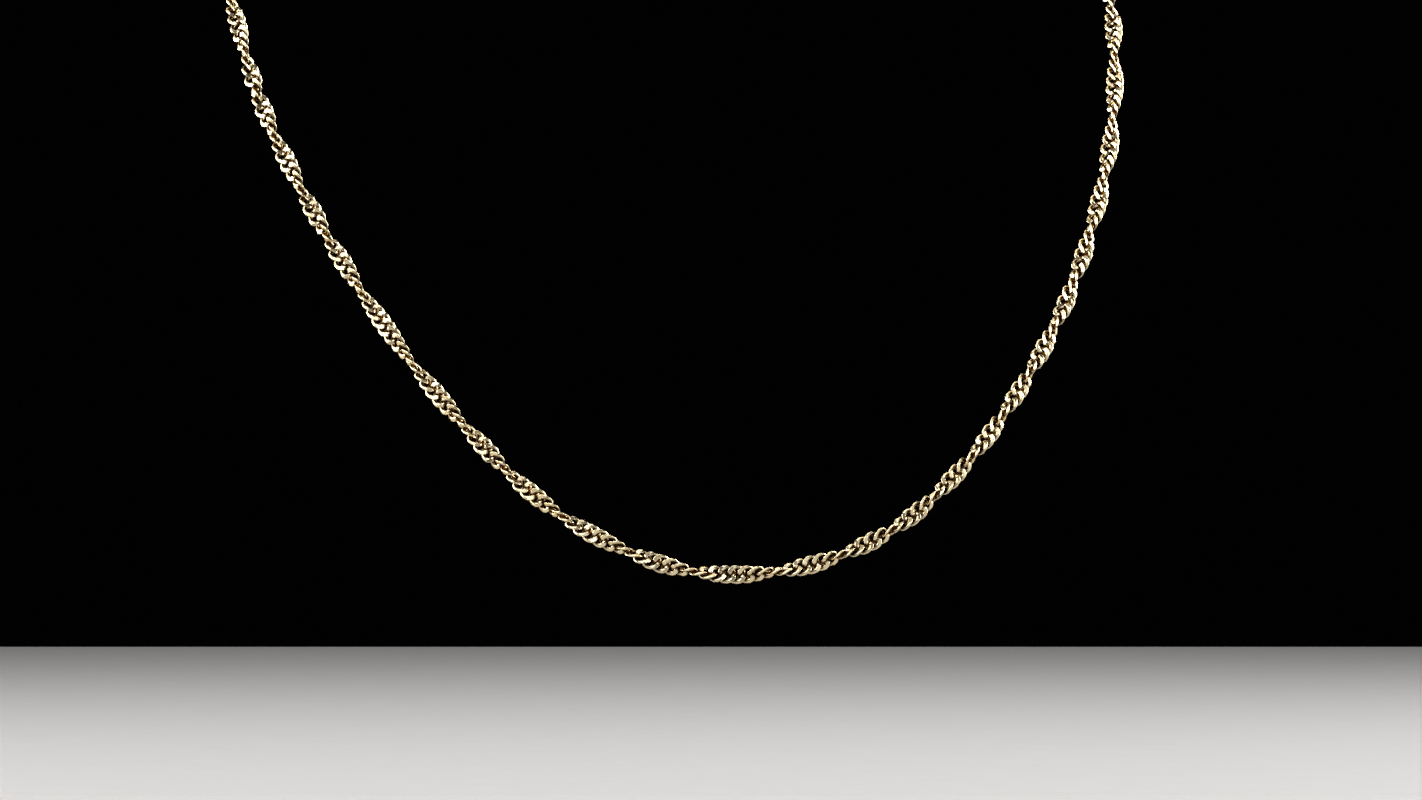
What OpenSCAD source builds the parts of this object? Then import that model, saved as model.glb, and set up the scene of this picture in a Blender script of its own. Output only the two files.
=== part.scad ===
// Singapore chain necklace: a twisted curb chain closed at the nape by a plain spring ring clasp.
// Millimetres, +Z up, front towards -Y. The origin is at the nape, midway between the two ends
// of the chain, where the necklace rests on the back of the neck.

/* [Chain] */
// Width over the links, which is the width of the twisting band
chain_w = 2.2; // [2:0.1:2.4]
// Thickness of the wire that the links are bent from
link_wire = 0.46; // [0.4:0.02:0.48]
// Sides of the tube that the twisting links fill
tube_sides = 8; // [8:1:12]

/* [Jump rings] */
// Outer width of each jump ring
jump_w = 3.5; // [3.4:0.1:4]
// Thickness of the jump ring wire
jump_wire = 0.6; // [0.5:0.05:0.6]

/* [Clasp] */
// Outer width of the spring ring
clasp_w = 6; // [5.5:0.1:7]
// Thickness of the spring ring's body
clasp_body = 1.2; // [1:0.1:1.2]
// Outer width of the eye soldered to the spring ring
eye_w = 2.6; // [2.6:0.1:3]
// Thickness of the eye's wire
eye_wire = 0.6; // [0.5:0.05:0.6]
// How far the thumb knob stands out of the spring ring
knob_h = 0.9; // [0.6:0.1:1.2]
// Thickness of the thumb knob
knob_d = 0.7; // [0.5:0.1:0.9]

/* [Fit] */
// Air left where one piece hooks into another
air = 0.1; // [0.1:0.01:0.12]

/* [Hidden] */

gold = [0.88, 0.74, 0.46];
// How deep the eye and the knob are sunk into the spring ring's body
solder = 0.1;
// Direction of the thumb knob from the middle of the spring ring, up and to the left
knob_angle = 125;
// Facets of a full turn of a round ring and of its wire
turn_fn = 96;
wire_fn = 24;

// Distance between the middles of two rings that hook into each other, pulled almost tight
function hooked(w1, wire1, w2, wire2) = (w1 + w2) / 2 - wire1 - wire2 - air;

// Reach from the middle of the spring ring to the middle of the last link on each side
eye_off = clasp_w / 2 + (eye_w - eye_wire) / 2 - solder;
jump_to_link = hooked(jump_w, jump_wire, chain_w, link_wire);
left_jump_off = eye_off + hooked(eye_w, eye_wire, jump_w, jump_wire);
right_jump_off = hooked(clasp_w, clasp_body, jump_w, jump_wire);
left_reach = left_jump_off + jump_to_link;
right_reach = right_jump_off + jump_to_link;

// The last links stand equally far from the origin, and the spring ring a little to the right
end_link_x = (left_reach + right_reach) / 2;
clasp_x = (left_reach - right_reach) / 2;
// Where the run of fine links starts and ends, just clear of the last links
chain_end_x = end_link_x + chain_w / 2 + air;

// Points that the chain passes through, from the left of the nape down round the front,
// lowest at the middle, and up again to the right of the nape
route_points = [
    [-18, -2.5, 0],
    [-28.5, -8, -1.5],
    [-37.5, -16, -4],
    [-45, -25.5, -8],
    [-50.5, -34.5, -13.5],
    [-54, -43, -20],
    [-55.5, -51, -28],
    [-54, -59.5, -38],
    [-51.5, -65.5, -48],
    [-47, -71, -58.5],
    [-42, -76, -68],
    [-36, -81, -77.5],
    [-29.5, -85.5, -86],
    [-21.5, -89.5, -94.5],
    [-12.5, -93, -100.5],
    [-2, -95, -104],
    [10, -95.5, -103.5],
    [21.5, -94.5, -99],
    [30.5, -92, -91.5],
    [37.5, -88.5, -83],
    [44, -83.5, -73],
    [48.5, -79, -63],
    [52, -73, -53],
    [54, -66.5, -43],
    [55, -58, -33],
    [54.5, -49, -24.5],
    [52, -39.5, -17.5],
    [48, -30.5, -12],
    [42, -22, -7.5],
    [34.5, -14, -4],
    [26, -7.5, -1.5],
    [16.5, -2.5, 0]
];
// Rings of the tube from one route point to the next
rings_per_span = 2;
// Spacing of the two guide points that keep the ends of the chain level along X
guide_step = 12;

guides = concat(
    [[guide_step - chain_end_x, 0, 0], [-chain_end_x, 0, 0]],
    route_points,
    [[chain_end_x, 0, 0], [chain_end_x - guide_step, 0, 0]]
);

// Point at the share t between b and c of a smooth curve through a, b, c and d
function between(a, b, c, d, t) =
    (2 * b + (c - a) * t + (2 * a - 5 * b + 4 * c - d) * t * t + (3 * b - a - 3 * c + d) * t * t * t) / 2;

function unit(v) = v / norm(v);

// Middle line of the tube, then the point before its start and the point after its end
middle = concat(
    [
        for (i = [1 : len(guides) - 3], k = [0 : rings_per_span - 1])
            between(guides[i - 1], guides[i], guides[i + 1], guides[i + 2], k / rings_per_span)
    ],
    [[chain_end_x, 0, 0]]
);
last_ring = len(middle) - 1;

// Direction of the chain at ring i, level along X at both ends
function heading(i) = i == 0 || i == last_ring ? [-1, 0, 0] : unit(middle[i + 1] - middle[i - 1]);

// Corners of ring i, round the heading, starting on the outward side
function ring_corners(i) =
    let (along = heading(i), outward = unit(cross(along, [0, 0, 1])), upward = cross(outward, along))
    [
        for (j = [0 : tube_sides - 1])
            let (a = 360 * j / tube_sides)
            middle[i] + (outward * cos(a) + upward * sin(a)) * chain_w / 2
    ];

// Number of corner j on ring i
function corner(i, j) = i * tube_sides + j % tube_sides;

// One closed skin: the two end caps and two triangles for each side between neighbouring rings
module swept_tube() {
    corners = [for (i = [0 : last_ring]) each ring_corners(i)];
    start_cap = [[for (j = [tube_sides - 1 : -1 : 0]) corner(0, j)]];
    end_cap = [[for (j = [0 : tube_sides - 1]) corner(last_ring, j)]];
    sides = [
        for (i = [0 : last_ring - 1], j = [0 : tube_sides - 1])
            each [
                [corner(i, j), corner(i, j + 1), corner(i + 1, j + 1)],
                [corner(i, j), corner(i + 1, j + 1), corner(i + 1, j)]
            ]
    ];
    polyhedron(points = corners, faces = concat(start_cap, sides, end_cap), convexity = 4);
}

// Closed round ring of outer width w, bent from wire of thickness wire, lying level
module wire_ring(w, wire) {
    rotate_extrude($fn = turn_fn) {
        translate([(w - wire) / 2, 0]) {
            circle(d = wire, $fn = wire_fn);
        }
    }
}

// The same ring upright, with its hole facing front and back, centred at x on the nape line
module upright_ring(x, w, wire) {
    translate([x, 0, 0]) {
        rotate([90, 0, 0]) {
            wire_ring(w, wire);
        }
    }
}

module chain() {
    color(gold) swept_tube();
}

// Last link of the chain on one side, a closed ring round the jump ring's wire
module end_link(side) {
    color(gold) upright_ring(side * end_link_x, chain_w, link_wire);
}

// Jump ring lying level, at right angles to what it joins
module jump_ring(x) {
    color(gold) translate([x, 0, 0]) wire_ring(jump_w, jump_wire);
}

// Spring ring, its soldered eye on the left and its thumb knob, in one piece
module clasp() {
    color(gold) {
        upright_ring(clasp_x, clasp_w, clasp_body);
        upright_ring(clasp_x - eye_off, eye_w, eye_wire);
        translate([clasp_x, 0, 0]) {
            rotate([0, 90 - knob_angle, 0]) {
                translate([0, 0, clasp_w / 2 - clasp_body / 2]) {
                    cylinder(h = clasp_body / 2 + knob_h, d = knob_d, $fn = wire_fn);
                }
            }
        }
    }
}

chain();
end_link(-1);  // end_link_left
end_link(1);  // end_link_right
jump_ring(clasp_x - left_jump_off);  // jump_ring_left
jump_ring(clasp_x + right_jump_off);  // jump_ring_right
clasp();
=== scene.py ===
"""Gold singapore chain necklace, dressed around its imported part.

The interlocking links, their finish, the finish of the clasp and its rings, and the studio.
Sizes are in metres in the frame of the part: +Z up, the front towards -Y, the origin at the nape.
"""

import logging
import math
import random
from bisect import bisect_right
from dataclasses import dataclass, field
from enum import Enum

import bmesh
import bpy
from mathutils import Euler, Matrix, Vector


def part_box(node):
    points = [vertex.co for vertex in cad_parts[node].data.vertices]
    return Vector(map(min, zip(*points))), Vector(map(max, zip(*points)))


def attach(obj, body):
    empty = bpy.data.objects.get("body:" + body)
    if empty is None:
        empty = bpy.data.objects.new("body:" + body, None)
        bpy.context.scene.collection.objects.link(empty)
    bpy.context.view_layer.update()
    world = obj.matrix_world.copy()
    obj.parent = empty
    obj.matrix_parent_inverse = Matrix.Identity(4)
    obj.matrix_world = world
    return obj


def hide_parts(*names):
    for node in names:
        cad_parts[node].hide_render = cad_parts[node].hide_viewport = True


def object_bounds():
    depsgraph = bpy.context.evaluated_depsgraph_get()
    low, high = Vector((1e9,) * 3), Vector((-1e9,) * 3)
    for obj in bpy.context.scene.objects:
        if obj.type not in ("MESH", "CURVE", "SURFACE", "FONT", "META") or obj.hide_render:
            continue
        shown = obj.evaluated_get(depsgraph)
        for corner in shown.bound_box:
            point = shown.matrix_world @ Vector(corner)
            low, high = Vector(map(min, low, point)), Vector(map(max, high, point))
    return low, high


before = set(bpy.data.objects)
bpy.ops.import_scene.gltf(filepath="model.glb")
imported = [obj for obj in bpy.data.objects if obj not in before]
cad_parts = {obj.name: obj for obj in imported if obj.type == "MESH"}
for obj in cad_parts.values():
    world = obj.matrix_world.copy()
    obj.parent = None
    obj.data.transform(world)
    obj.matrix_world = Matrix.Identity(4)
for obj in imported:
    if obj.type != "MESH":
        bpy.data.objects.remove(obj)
CAD_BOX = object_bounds()

MM = 0.001
UP = Vector((0, 0, 1))
Colour = tuple[float, float, float, float]
Point = tuple[float, float, float]
log = logging.getLogger("necklace")


class Node(Enum):
    """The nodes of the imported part."""

    CHAIN = "chain"
    END_LINK_LEFT = "end_link_left"
    END_LINK_RIGHT = "end_link_right"
    JUMP_RING_LEFT = "jump_ring_left"
    JUMP_RING_RIGHT = "jump_ring_right"
    CLASP = "clasp"

    def middle(self) -> Vector:
        """The middle of the node's box."""
        low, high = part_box(self.value)
        return (low + high) / 2

    def width(self) -> float:
        """The node's size along X."""
        low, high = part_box(self.value)
        return high.x - low.x


class Mark(Enum):
    """The values that the links' mesh carries at each corner."""

    # Painted shade: how far a corner lies inside the band of links, where the gold is turned near black
    SHADE_DEPTH = "shade_depth"
    TONE = "tone"


def put(name: str, data: bpy.types.ID) -> bpy.types.Object:
    """Adds an object to the scene.

    Args:
        name: The object's name.
        data: Its mesh, lamp or camera.

    Returns:
        The object, at the origin.
    """
    made = bpy.data.objects.new(name, data)
    bpy.context.scene.collection.objects.link(made)
    return made


def put_shape(name: str, shape: bmesh.types.BMesh, material: bpy.types.Material) -> bpy.types.Object:
    """Adds a finished shape to the scene as a piece.

    Args:
        name: The name of the piece and of its mesh.
        shape: The shape, which is used up.
        material: The material of the whole piece.

    Returns:
        The piece, at the origin.
    """
    mesh = bpy.data.meshes.new(name)
    shape.to_mesh(mesh)
    shape.free()
    mesh.materials.append(material)
    return put(name, mesh)


class Wired:
    """A value inside a material: a socket whose sums and products add the nodes for them."""

    def __init__(self, shader: "Shader", socket: bpy.types.NodeSocket | None) -> None:
        """Wraps the socket of a node in the shader."""
        self.shader = shader
        self.socket = socket

    def _maths(self, operation: str, first: "Wired | float", second: "Wired | float") -> "Wired":
        """Adds a Math node that works out the operation on two values."""
        return self.shader.node("ShaderNodeMath", {"operation": operation}, {0: first, 1: second})

    def __add__(self, other: "Wired | float") -> "Wired":
        """This value plus another."""
        return self._maths("ADD", self, other)

    __radd__ = __add__

    def __sub__(self, other: "Wired | float") -> "Wired":
        """This value less another."""
        return self._maths("SUBTRACT", self, other)

    def __rsub__(self, other: "Wired | float") -> "Wired":
        """Another value less this one."""
        return self._maths("SUBTRACT", other, self)

    def __mul__(self, other: "Wired | float") -> "Wired":
        """This value times another."""
        return self._maths("MULTIPLY", self, other)

    __rmul__ = __mul__


class Shader:
    """One material and a short way to add nodes to it."""

    def __init__(self, name: str) -> None:
        """Starts a material with an empty node tree.

        Args:
            name: The material's name.
        """
        self.material = bpy.data.materials.new(name)
        self.material.use_nodes = True
        self.tree = self.material.node_tree
        self.tree.nodes.clear()

    def node(
        self,
        kind: str,
        settings: dict[str, object] | None = None,
        inputs: dict[int | str, object] | None = None,
        output: int | str = 0,
    ) -> Wired:
        """Adds a node.

        Args:
            kind: The node's type.
            settings: Its own settings, which are set first.
            inputs: The value or the link of each socket, by its name or its number.
            output: The socket that is wanted.

        Returns:
            The wanted socket's value, which is empty for a node that hands nothing on.
        """
        made = self.tree.nodes.new(kind)
        for name, value in (settings or {}).items():
            setattr(made, name, value)
        for key, value in (inputs or {}).items():
            if isinstance(value, Wired):
                self.tree.links.new(value.socket, made.inputs[key])
            else:
                made.inputs[key].default_value = value
        return Wired(self, made.outputs[output] if made.outputs else None)

    def place(self) -> Wired:
        """The point on the piece, in its own coordinates."""
        return self.node("ShaderNodeTexCoord", output="Object")

    def mark(self, mark: Mark) -> Wired:
        """The value that the mesh carries under this mark."""
        return self.node("ShaderNodeAttribute", {"attribute_name": mark.value}, output="Fac")

    def noise(self, grain: float, detail: float = 2.0, at: Wired | None = None) -> Wired:
        """A cloudy pattern from 0 to 1, with blotches as large as grain, read on the piece or at a point."""
        inputs = {"Vector": at or self.place(), "Scale": 1 / grain, "Detail": detail}
        return self.node("ShaderNodeTexNoise", inputs=inputs)

    def step(self, value: Wired, low: float, high: float) -> Wired:
        """0 where the value is under low, 1 where it is over high, and smooth between."""
        inputs = {"Value": value, "From Min": low, "From Max": high}
        return self.node("ShaderNodeMapRange", {"interpolation_type": "SMOOTHSTEP"}, inputs)

    def mix(self, share: Wired, first: Wired | Colour, second: Wired | Colour) -> Wired:
        """Blends two colours, with the first alone at share 0 and the second alone at share 1."""
        settings = {"data_type": "RGBA", "clamp_factor": True}
        return self.node("ShaderNodeMix", settings, {0: share, 6: first, 7: second}, output=2)

    def bump(self, height: Wired, depth: float, strength: float) -> Wired:
        """Turns a height from 0 to 1 into a normal, where depth is the height 1 in metres."""
        inputs = {"Height": height, "Distance": depth, "Strength": strength}
        return self.node("ShaderNodeBump", inputs=inputs)

    def finish(self, **sockets: object) -> bpy.types.Material:
        """Ends the material in one Principled shader.

        Args:
            sockets: Its sockets' values, with underscores for the spaces in their names.

        Returns:
            The material.
        """
        inputs = {name.replace("_", " "): value for name, value in sockets.items()}
        surface = self.node("ShaderNodeBsdfPrincipled", inputs=inputs)
        self.node("ShaderNodeOutputMaterial", inputs={"Surface": surface})
        return self.material


@dataclass(frozen=True)
class LinkGold:
    """The polish of the fine links: bright where they were cut and rubbed, with near-black painted shade in
    their hollows.

    Attributes:
        name: The material's name.
        bright: The gold of the least worn links.
        warm: The gold of the most worn links.
        hollow_shade: The near-black painted shade down in the hollows, where the links lie inside each
            other.
        rim: The tint of the gold where it is seen at a slant.
        blotch: The size of the cloudy changes of wear along the chain.
        grain: The size of the fine grain of the metal.
        grain_depth: The height of the grain.
        grain_strength: How much of that height shows.
        grain_in_hollows: How far the grain moves the edge of the painted shade, whose depth runs from 0 to
            1.
        shade_from: The depth at which the painted shade starts.
        shade_to: The depth at which the painted shade is full.
        tone_share: The link's own share in its wear. The rest is the blotches' share.
        polish: The roughness of the brightest gold.
        haze: The most that wear adds to the roughness.
        hollow_haze: The most that the painted shade in the hollows adds to the roughness.
    """

    name: str = "link_gold"
    bright: Colour = (0.97, 0.84, 0.56, 1)
    warm: Colour = (0.90, 0.73, 0.42, 1)
    hollow_shade: Colour = (0.03, 0.010, 0.002, 1)
    rim: Colour = (0.7, 0.52, 0.30, 1)
    blotch: float = 2.5 * MM
    grain: float = 0.09 * MM
    grain_depth: float = 0.001 * MM
    grain_strength: float = 0.3
    grain_in_hollows: float = 0.04
    shade_from: float = 0.06
    shade_to: float = 0.4
    tone_share: float = 0.6
    polish: float = 0.2
    haze: float = 0.06
    hollow_haze: float = 0.16

    def material(self) -> bpy.types.Material:
        """Builds the material.

        Returns:
            The material of the links.
        """
        shader = Shader(self.name)
        blotch = shader.noise(self.blotch)
        grain = shader.noise(self.grain, detail=3)
        wear = self.tone_share * shader.mark(Mark.TONE) + (1 - self.tone_share) * blotch
        # Painted shade: near black mixed into the gold where the links lie inside each other
        depth = shader.mark(Mark.SHADE_DEPTH) + self.grain_in_hollows * grain
        painted_shade = shader.step(depth, self.shade_from, self.shade_to)
        metal = shader.mix(wear, self.bright, self.warm)
        return shader.finish(
            Base_Color=shader.mix(painted_shade, metal, self.hollow_shade),
            Metallic=1.0,
            Specular_Tint=self.rim,
            Roughness=self.polish + self.haze * wear + self.hollow_haze * painted_shade,
            Normal=shader.bump(grain, self.grain_depth, self.grain_strength),
        )


@dataclass(frozen=True)
class RingGold:
    """The polish of a piece bent from wire, with a fine seam where the ends of a split ring meet.

    Attributes:
        name: The material's name.
        middle: The middle of the piece.
        seam_side: 1 for a seam on the piece's +Y side, -1 for its -Y side, 0 for a piece soldered shut.
        bright: The gold of its brightest blotches.
        warm: The gold of its warmest blotches.
        soot: The colour in the seam.
        blotch: The size of the cloudy changes of wear.
        scratch: The width of the fine scratches.
        scratch_stretch: How many times longer than wide they are.
        scratch_depth: Their depth.
        scratch_strength: How much of that depth shows.
        scratch_share: The scratches' share in the haze. The rest is the blotches' share.
        seam: Half the width of the seam.
        seam_core: Half the width of its darkest part.
        seam_depth: How many times deeper than a scratch it is.
        seam_soot: How dark it is, from 0 to 1.
        seam_haze: What it adds to the roughness.
        polish: The roughness of the brightest gold.
        haze: The most that scratches and blotches add to the roughness.
    """

    name: str
    middle: Vector
    seam_side: float = 0.0
    bright: Colour = (0.92, 0.77, 0.48, 1)
    warm: Colour = (0.85, 0.67, 0.37, 1)
    soot: Colour = (0.16, 0.08, 0.03, 1)
    blotch: float = 1.2 * MM
    scratch: float = 0.05 * MM
    scratch_stretch: float = 9.0
    scratch_depth: float = 0.004 * MM
    scratch_strength: float = 0.6
    scratch_share: float = 0.5
    seam: float = 0.03 * MM
    seam_core: float = 0.012 * MM
    seam_depth: float = 4.0
    seam_soot: float = 0.85
    seam_haze: float = 0.3
    polish: float = 0.14
    haze: float = 0.14

    def seam_mask(self, shader: Shader) -> Wired:
        """Where the seam is.

        Args:
            shader: The material that the mask is for.

        Returns:
            1 in the seam and 0 elsewhere.
        """
        inputs = {"Vector": shader.place(), "Location": -self.middle}
        at = shader.node("ShaderNodeMapping", inputs=inputs)
        across = shader.node("ShaderNodeSeparateXYZ", inputs={"Vector": at}, output="X")
        along = shader.node("ShaderNodeSeparateXYZ", inputs={"Vector": at}, output="Y")
        away = shader.node("ShaderNodeMath", {"operation": "ABSOLUTE"}, {0: across})
        on_side = shader.step(self.seam_side * along, 0, self.seam)
        return on_side * (1 - shader.step(away, self.seam_core, self.seam))

    def material(self) -> bpy.types.Material:
        """Builds the material.

        Returns:
            The material of one ring.
        """
        shader = Shader(self.name)
        stretch = Vector((1, self.scratch_stretch, self.scratch_stretch))
        stretched = shader.node("ShaderNodeMapping", inputs={"Vector": shader.place(), "Scale": stretch})
        scratch = shader.noise(self.scratch * self.scratch_stretch, detail=4, at=stretched)
        blotch = shader.noise(self.blotch)
        wear = self.scratch_share * scratch + (1 - self.scratch_share) * blotch
        colour = shader.mix(blotch, self.bright, self.warm)
        roughness = self.polish + self.haze * wear
        height = scratch
        if self.seam_side:
            seam = self.seam_mask(shader)
            colour = shader.mix(self.seam_soot * seam, colour, self.soot)
            roughness = roughness + self.seam_haze * seam
            height = scratch - self.seam_depth * seam
        return shader.finish(
            Base_Color=colour,
            Metallic=1.0,
            Roughness=roughness,
            Normal=shader.bump(height, self.scratch_depth, self.scratch_strength),
        )


@dataclass(frozen=True)
class FloorPaper:
    """The pale matt paper of the studio floor.

    Attributes:
        name: The material's name.
        pale: The colour of its lighter fibres.
        shade: The colour of its darker fibres.
        fibre: The size of their blotches.
        matt: The roughness of the paper.
    """

    name: str = "floor_paper"
    pale: Colour = (0.27, 0.265, 0.26, 1)
    shade: Colour = (0.25, 0.245, 0.24, 1)
    fibre: float = 9 * MM
    matt: float = 0.85

    def material(self) -> bpy.types.Material:
        """Builds the material.

        Returns:
            The material of the floor.
        """
        shader = Shader(self.name)
        colour = shader.mix(shader.noise(self.fibre, detail=5), self.pale, self.shade)
        return shader.finish(Base_Color=colour, Roughness=self.matt)


@dataclass
class Route:
    """The line that the links follow, from the last link on the left down round the front to the right.

    It is the middle line of the chain's own solid, through the same points, led on to the
    middles of the two last links.

    Attributes:
        air: The gap between a last link and the run of links.
        lead: How far in the two guide points lie that keep the ends of the run level.
        steps: How many stretches of the line lead from one point to the next.
        reach: How far ahead and back the line is read for its direction.
        points_mm: The points that the line passes through, in mm.
        line: The line's own, much closer points.
        distances: How far along the line each of those is.
        lead_in: How far along the line the run of links starts.
    """

    air: float = 0.1 * MM
    lead: float = 12 * MM
    steps: int = 40
    reach: float = 0.5 * MM
    points_mm: tuple[Point, ...] = (
        (-18, -2.5, 0),
        (-28.5, -8, -1.5),
        (-37.5, -16, -4),
        (-45, -25.5, -8),
        (-50.5, -34.5, -13.5),
        (-54, -43, -20),
        (-55.5, -51, -28),
        (-54, -59.5, -38),
        (-51.5, -65.5, -48),
        (-47, -71, -58.5),
        (-42, -76, -68),
        (-36, -81, -77.5),
        (-29.5, -85.5, -86),
        (-21.5, -89.5, -94.5),
        (-12.5, -93, -100.5),
        (-2, -95, -104),
        (10, -95.5, -103.5),
        (21.5, -94.5, -99),
        (30.5, -92, -91.5),
        (37.5, -88.5, -83),
        (44, -83.5, -73),
        (48.5, -79, -63),
        (52, -73, -53),
        (54, -66.5, -43),
        (55, -58, -33),
        (54.5, -49, -24.5),
        (52, -39.5, -17.5),
        (48, -30.5, -12),
        (42, -22, -7.5),
        (34.5, -14, -4),
        (26, -7.5, -1.5),
        (16.5, -2.5, 0),
    )
    line: list[Vector] = field(init=False)
    distances: list[float] = field(init=False)
    lead_in: float = field(init=False)

    def __post_init__(self) -> None:
        """Works out the line and the distance along it of each of its points."""
        left, right = Node.END_LINK_LEFT.middle(), Node.END_LINK_RIGHT.middle()
        self.lead_in = Node.END_LINK_LEFT.width() / 2 + self.air
        start = left - Vector((self.lead_in, 0, 0))
        end = right + Vector((self.lead_in, 0, 0))
        level = Vector((self.lead, 0, 0))
        guides = [start + level, start]
        guides += [Vector(point) * MM for point in self.points_mm]
        guides += [end, end - level]
        self.line = [left]
        for a, b, c, d in zip(guides, guides[1:], guides[2:], guides[3:]):
            self.line += [self.between(a, b, c, d, step / self.steps) for step in range(self.steps)]
        self.line += [end, right]
        self.distances = [0.0]
        for before, after in zip(self.line, self.line[1:]):
            self.distances.append(self.distances[-1] + (after - before).length)

    @staticmethod
    def between(a: Vector, b: Vector, c: Vector, d: Vector, t: float) -> Vector:
        """The point at the share t between b and c of a smooth curve through a, b, c and d.

        Args:
            a: The point before b.
            b: The point at share 0.
            c: The point at share 1.
            d: The point after c.
            t: The share of the way from b to c.

        Returns:
            The point.
        """
        square = (2 * a - 5 * b + 4 * c - d) * t**2
        cube = (3 * b - a - 3 * c + d) * t**3
        return (2 * b + (c - a) * t + square + cube) / 2

    @property
    def length(self) -> float:
        """The length of the line."""
        return self.distances[-1]

    def point(self, distance: float) -> Vector:
        """Finds a point of the line.

        Args:
            distance: How far along the line it is.

        Returns:
            The point.
        """
        after = min(max(bisect_right(self.distances, distance), 1), len(self.line) - 1)
        before = self.distances[after - 1]
        share = (distance - before) / (self.distances[after] - before)
        return self.line[after - 1].lerp(self.line[after], share)

    def heading(self, distance: float) -> Vector:
        """The direction of the line at a distance along it."""
        return (self.point(distance + self.reach) - self.point(distance - self.reach)).normalized()


@dataclass
class Twist:
    """How far the band of links has turned about the chain's line, at each distance along it.

    The band makes a half turn from one edge-on place to the next. The places that show were charted in mm
    from the left end of the run of links, and the hidden stretches are evenly twisted. They start and end a
    little inside the route, so that the first and last link lie across the end links.

    Attributes:
        route: The line of the chain.
        inset: How far inside the route the first and last edge-on places are.
        left_half_turns: The half turns that are hidden on the left.
        right_half_turns: The half turns that are hidden on the right.
        edge_on_mm: The edge-on places that show.
        places: Every edge-on place, as a distance along the route.
    """

    route: Route
    inset: float = 2.2 * MM
    left_half_turns: int = 12
    right_half_turns: int = 12
    edge_on_mm: tuple[float, ...] = (
        102.5, 107, 113.5, 121.5, 128.5, 137, 148.5, 158, 165.5, 174, 183, 191, 201,
        209.5, 216.5, 223.5, 231, 238, 245, 252.5, 259.5, 267.5, 276.5, 286.5, 296.5,
    )
    places: list[float] = field(init=False)

    def __post_init__(self) -> None:
        """Lists every edge-on place, hidden ones too, from one end of the route to the other."""
        charted = [self.route.lead_in + mm * MM for mm in self.edge_on_mm]
        step = (charted[0] - self.inset) / self.left_half_turns
        left = [charted[0] - step * k for k in range(self.left_half_turns, 0, -1)]
        step = (self.route.length - self.inset - charted[-1]) / self.right_half_turns
        right = [charted[-1] + step * (k + 1) for k in range(self.right_half_turns)]
        self.places = left + charted + right

    def rate(self, k: int) -> float:
        """Turn per metre at edge-on place k."""
        low, high = max(k - 1, 0), min(k + 1, len(self.places) - 1)
        return math.pi * (high - low) / (self.places[high] - self.places[low])

    def angle(self, distance: float) -> float:
        """The turn from flat at a distance along the route.

        Args:
            distance: The distance along the route.

        Returns:
            The angle in radians, a quarter turn more than a whole number of half turns where edge-on.
        """
        k = min(max(bisect_right(self.places, distance) - 1, 0), len(self.places) - 2)
        span = self.places[k + 1] - self.places[k]
        t = (distance - self.places[k]) / span
        eased = 3 * t**2 - 2 * t**3
        start = (t - 2 * t**2 + t**3) * span * self.rate(k)
        end = (t**3 - t**2) * span * self.rate(k + 1)
        return math.pi * (k + 0.5 + eased) + start + end


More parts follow.
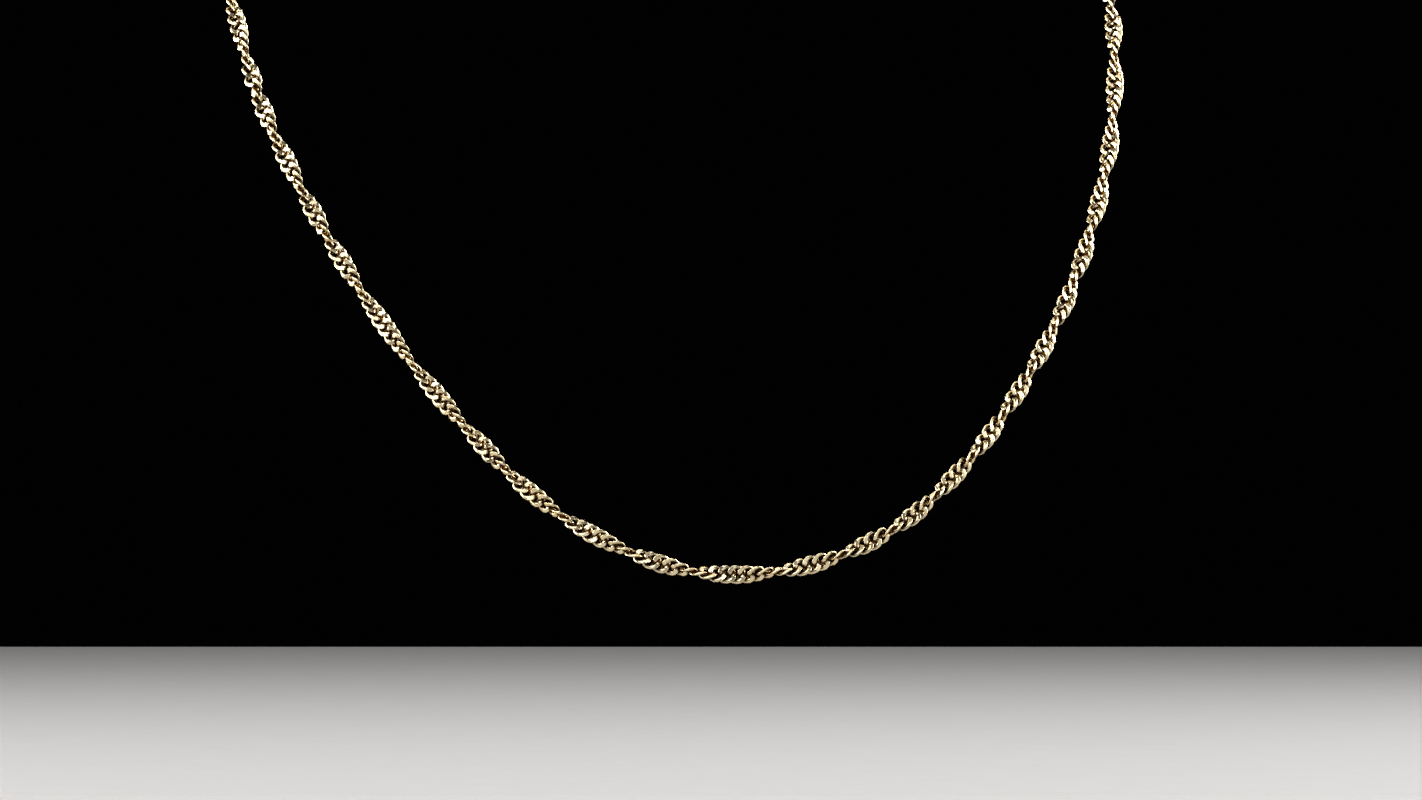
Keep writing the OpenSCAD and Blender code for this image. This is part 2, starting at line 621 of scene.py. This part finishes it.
@dataclass(frozen=True)
class CurbLink:
    """One link: a ring of rolled wire, twisted so that it lies in its neighbours.

    The ring lies along X with its width along Y, and is twisted about X by the same angle each way.
    Both its faces are pressed a little flatter, and then cut flat where they still stand out past the
    cut.

    Attributes:
        half_length: From the link's middle to the middle of its wire, along X.
        half_width: The same along Y.
        twist: How far each end of the ring is turned about X.
        wire: The thickness of the wire before it is rolled.
        rolled: How many times wider the rolling makes the wire, and thinner by as much.
        press: The height that the pressed faces never reach. Higher wire is flattened more.
        cut: The height of the two flat cuts over the link's middle.
        roundness: 1 for a round ring, and less for a ring with straighter sides.
        ring_sides: The sides of the ring.
        wire_sides: The sides of its wire.
    """

    half_length: float = 0.845 * MM
    half_width: float = 0.85 * MM
    twist: float = math.radians(36)
    wire: float = 0.46 * MM
    rolled: float = 1.22
    press: float = 0.5 * MM
    cut: float = 0.24 * MM
    roundness: float = 0.7
    ring_sides: int = 16
    wire_sides: int = 6

    def build(self) -> bmesh.types.BMesh:
        """Spins the wire into a ring and shapes the ring.

        Returns:
            The link, with its hollows marked at each corner.
        """
        link = bmesh.new()
        upright = Matrix.Translation((self.half_width, 0, 0)) @ Matrix.Rotation(math.pi / 2, 4, "X")
        section = upright @ Matrix.Diagonal((self.rolled, 1 / self.rolled, 1, 1))
        bmesh.ops.create_circle(link, segments=self.wire_sides, radius=self.wire / 2, matrix=section)
        bmesh.ops.spin(
            link,
            geom=link.verts[:] + link.edges[:],
            cent=(0, 0, 0),
            axis=UP,
            angle=math.tau,
            steps=self.ring_sides,
            use_merge=True,
        )
        # Each corner carries how far it lies inside the band, which sets its painted shade
        shade_depth = link.verts.layers.float.new(Mark.SHADE_DEPTH.value)
        for corner in link.verts:
            corner[shade_depth] = self.shape(corner)
        for face in link.faces:
            face.smooth = not all(self.on_cut(corner) for corner in face.verts)
        bmesh.ops.recalc_face_normals(link, faces=link.faces[:])
        return link

    def shape(self, corner: bmesh.types.BMVert) -> float:
        """Moves a corner of the plain ring to its place in the twisted link.

        Args:
            corner: The corner.

        Returns:
            How far it lies inside the band of links, from 0 to 1, which sets how much painted shade it gets.
        """
        turn = math.atan2(corner.co.y, corner.co.x)
        along, across = math.cos(turn), math.sin(turn)
        corner.co.x += self.half_length * self.fuller(along) - self.half_width * along
        corner.co.y += self.half_width * (self.fuller(across) - across)
        corner.co.rotate(Matrix.Rotation(-self.twist * along, 3, "X"))
        corner.co.z = min(max(self.press * math.tanh(corner.co.z / self.press), -self.cut), self.cut)
        outer = self.half_width + self.wire * self.rolled / 2
        return 1 - min(max(abs(corner.co.y) / outer, abs(corner.co.z) / self.cut), 1)

    def fuller(self, share: float) -> float:
        """The share from -1 to 1 of the way out from the middle, moved out as the roundness says."""
        return math.copysign(abs(share) ** self.roundness, share)

    def on_cut(self, corner: bmesh.types.BMVert) -> bool:
        """Whether a corner lies on one of the two flat cuts."""
        return math.isclose(abs(corner.co.z), self.cut, rel_tol=0.001)


@dataclass
class FineChain:
    """The run of links that stands for the chain's tube, each hooked through the next.

    Attributes:
        route: The line of the chain.
        link: The shape of every link.
        gold: The finish of every link.
        slot: The record's material slot of the links. Not used.
        pitch: About how far apart the links follow each other.
        play: The most that a link is turned loosely about each axis.
        seed: The seed of the loose turns. The next one is the seed of the shades.
    """

    route: Route
    link: CurbLink = CurbLink()
    gold: LinkGold = LinkGold()
    slot: str = "chain_gold"
    pitch: float = 1.14 * MM
    play: float = math.radians(2.5)
    seed: int = 11

    def places(self) -> list[Matrix]:
        """Works out where each link lies.

        Returns:
            One matrix for each link, from a link at the origin to its place.
        """
        draws = random.Random(self.seed)
        twist = Twist(self.route)
        steps = round(self.route.length / self.pitch)
        found = []
        for k in range(1, steps):
            distance = self.route.length * k / steps
            along = self.route.heading(distance)
            outward = along.cross(UP).normalized()
            flat = outward.cross(along)
            angle = twist.angle(distance)
            across = flat * math.cos(angle) + outward * math.sin(angle)
            axes = Matrix((along, across, along.cross(across))).transposed().to_4x4()
            loose = Euler([draws.uniform(-self.play, self.play) for _ in range(3)]).to_matrix().to_4x4()
            found.append(Matrix.Translation(self.route.point(distance)) @ axes @ loose)
        return found

    def build(self) -> bpy.types.Object:
        """Makes the links as one mesh and dresses it.

        Returns:
            The piece that stands for the chain.
        """
        link = self.link.build()
        corners = len(link.verts)
        places = self.places()
        whole = bmesh.new()
        one = bpy.data.meshes.new("one_link")
        for place in places:
            placed = link.copy()
            placed.transform(place)
            placed.to_mesh(one)
            placed.free()
            whole.from_mesh(one)
        link.free()
        bpy.data.meshes.remove(one)
        piece = put_shape("chain_links", whole, self.gold.material())
        self.mark_tones(piece.data, len(places), corners)
        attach(piece, "root")
        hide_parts(Node.CHAIN.value)
        return piece

    def mark_tones(self, mesh: bpy.types.Mesh, links: int, corners: int) -> None:
        """Gives each link its own shade of polish.

        Args:
            mesh: The joined links.
            links: How many there are.
            corners: How many corners one link has.
        """
        draws = random.Random(self.seed + 1)
        tones = []
        for _ in range(links):
            tones += [draws.random()] * corners
        mesh.attributes.new(Mark.TONE.value, "FLOAT", "POINT").data.foreach_set("value", tones)


@dataclass(frozen=True)
class Findings:
    """The last links, the jump rings and the clasp, which keep their own solids and get a finish.

    Attributes:
        seam_sides: The side of each piece's seam, or 0 where it is soldered shut.
    """

    seam_sides: tuple[tuple[Node, float], ...] = (
        (Node.END_LINK_LEFT, 0),
        (Node.END_LINK_RIGHT, 0),
        (Node.JUMP_RING_LEFT, 1),
        (Node.JUMP_RING_RIGHT, -1),
        (Node.CLASP, 0),
    )

    def dress(self) -> list[bpy.types.Object]:
        """Gives each node its gold.

        Returns:
            The nodes' pieces.
        """
        dressed = []
        for node, side in self.seam_sides:
            gold = RingGold(name=f"{node.value}_gold", middle=node.middle(), seam_side=side)
            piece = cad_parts[node.value]
            piece.data.materials.clear()
            piece.data.materials.append(gold.material())
            dressed.append(piece)
        return dressed


@dataclass(frozen=True)
class Softbox:
    """A soft lamp that faces the necklace from one side.

    Attributes:
        name: The lamp's name.
        azimuth: Its direction in degrees, 0 in front of the necklace and 90 to its right.
        elevation: Its height over the level in degrees.
        width: Its size from side to side.
        height: Its size from top to bottom.
        power: Its power in watts.
        distance: How far it hangs from its aim.
        aim: The point that it faces.
    """

    name: str
    azimuth: float
    elevation: float
    width: float
    height: float
    power: float
    distance: float = 0.75
    aim: Point = (0, -0.05, -0.05)

    def hang(self) -> None:
        """Adds the lamp, turned to its aim."""
        side, rise = math.radians(self.azimuth), math.radians(self.elevation)
        level = math.cos(rise)
        away = Vector((math.sin(side) * level, -math.cos(side) * level, math.sin(rise)))
        data = bpy.data.lights.new(self.name, "AREA")
        data.shape = "RECTANGLE"
        data.size = self.width
        data.size_y = self.height
        data.energy = self.power
        lamp = put(self.name, data)
        lamp.location = Vector(self.aim) + away * self.distance
        lamp.rotation_euler = away.to_track_quat("Z", "Y").to_euler()
        lamp.visible_camera = False


@dataclass(frozen=True)
class Studio:
    """The floor, the lamps, the surroundings and the camera.

    Attributes:
        paper: The finish of the floor.
        floor_below: How far the floor lies under the necklace.
        floor_size: The side of the floor.
        camera_distance: From the camera to the middle of what it sees.
        camera_turn: The angle by which the camera stands to the left of the front.
        seen_width: The width of what it sees, at that distance.
        seen_middle_mm: The middle of what it sees, in mm.
        surroundings: The colour of the room.
        lamps: The lamps.
    """

    paper: FloorPaper = FloorPaper()
    floor_below: float = 40 * MM
    floor_size: float = 1.8
    camera_distance: float = 0.9
    camera_turn: float = math.radians(8)
    seen_width: float = 169.3 * MM
    seen_middle_mm: Point = (-0.5, -95, -83.5)
    surroundings: Colour = (0.0005, 0.0005, 0.0005, 1)
    lamps: tuple[Softbox, ...] = (
        Softbox("top", azimuth=0, elevation=80, width=0.5, height=0.5, power=2.2),
        Softbox("right", azimuth=102, elevation=14, width=0.8, height=0.7, power=18),
        Softbox("left", azimuth=-106, elevation=14, width=0.8, height=0.7, power=17),
        Softbox("front_left", azimuth=-35, elevation=38, width=0.5, height=0.5, power=3.3),
        Softbox("front_right", azimuth=30, elevation=15, width=0.5, height=0.5, power=1),
        Softbox("back", azimuth=180, elevation=45, width=0.5, height=0.5, power=3),
    )

    def build(self) -> None:
        """Sets up all of it."""
        self.lay_floor()
        self.dim_surroundings()
        for lamp in self.lamps:
            lamp.hang()
        self.set_camera()

    def lay_floor(self) -> None:
        """Lays the floor under the necklace, square to the camera."""
        sheet = bmesh.new()
        bmesh.ops.create_grid(sheet, x_segments=1, y_segments=1, size=self.floor_size / 2)
        bmesh.ops.rotate(sheet, verts=sheet.verts[:], matrix=Matrix.Rotation(-self.camera_turn, 3, "Z"))
        bmesh.ops.translate(sheet, verts=sheet.verts[:], vec=(0, 0, CAD_BOX[0].z - self.floor_below))
        put_shape("floor", sheet, self.paper.material())

    def dim_surroundings(self) -> None:
        """Makes the room round the studio dark and even."""
        world = bpy.data.worlds.new("surroundings")
        world.use_nodes = True
        world.node_tree.nodes["Background"].inputs["Color"].default_value = self.surroundings
        bpy.context.scene.world = world
        bpy.context.scene.view_settings.view_transform = "Standard"

    def set_camera(self) -> None:
        """Puts the camera level in front of the necklace, a little to its left."""
        ahead = Vector((math.sin(self.camera_turn), math.cos(self.camera_turn), 0))
        data = bpy.data.cameras.new("camera")
        data.lens = data.sensor_width * self.camera_distance / self.seen_width
        camera = put("camera", data)
        camera.location = Vector(self.seen_middle_mm) * MM - ahead * self.camera_distance
        camera.rotation_euler = ahead.to_track_quat("-Z", "Y").to_euler()
        bpy.context.scene.camera = camera


def main() -> None:
    """Builds the studio, the links and the finishes in order, and reports each piece."""
    logging.basicConfig(level=logging.INFO, format="%(name)s: %(message)s")
    Studio().build()
    pieces = [FineChain(Route()).build(), *Findings().dress()]
    for piece in pieces:
        mesh = piece.data
        log.info("%s: %d faces, %s", piece.name, len(mesh.polygons), mesh.materials[0].name)


if __name__ == "__main__":
    main()
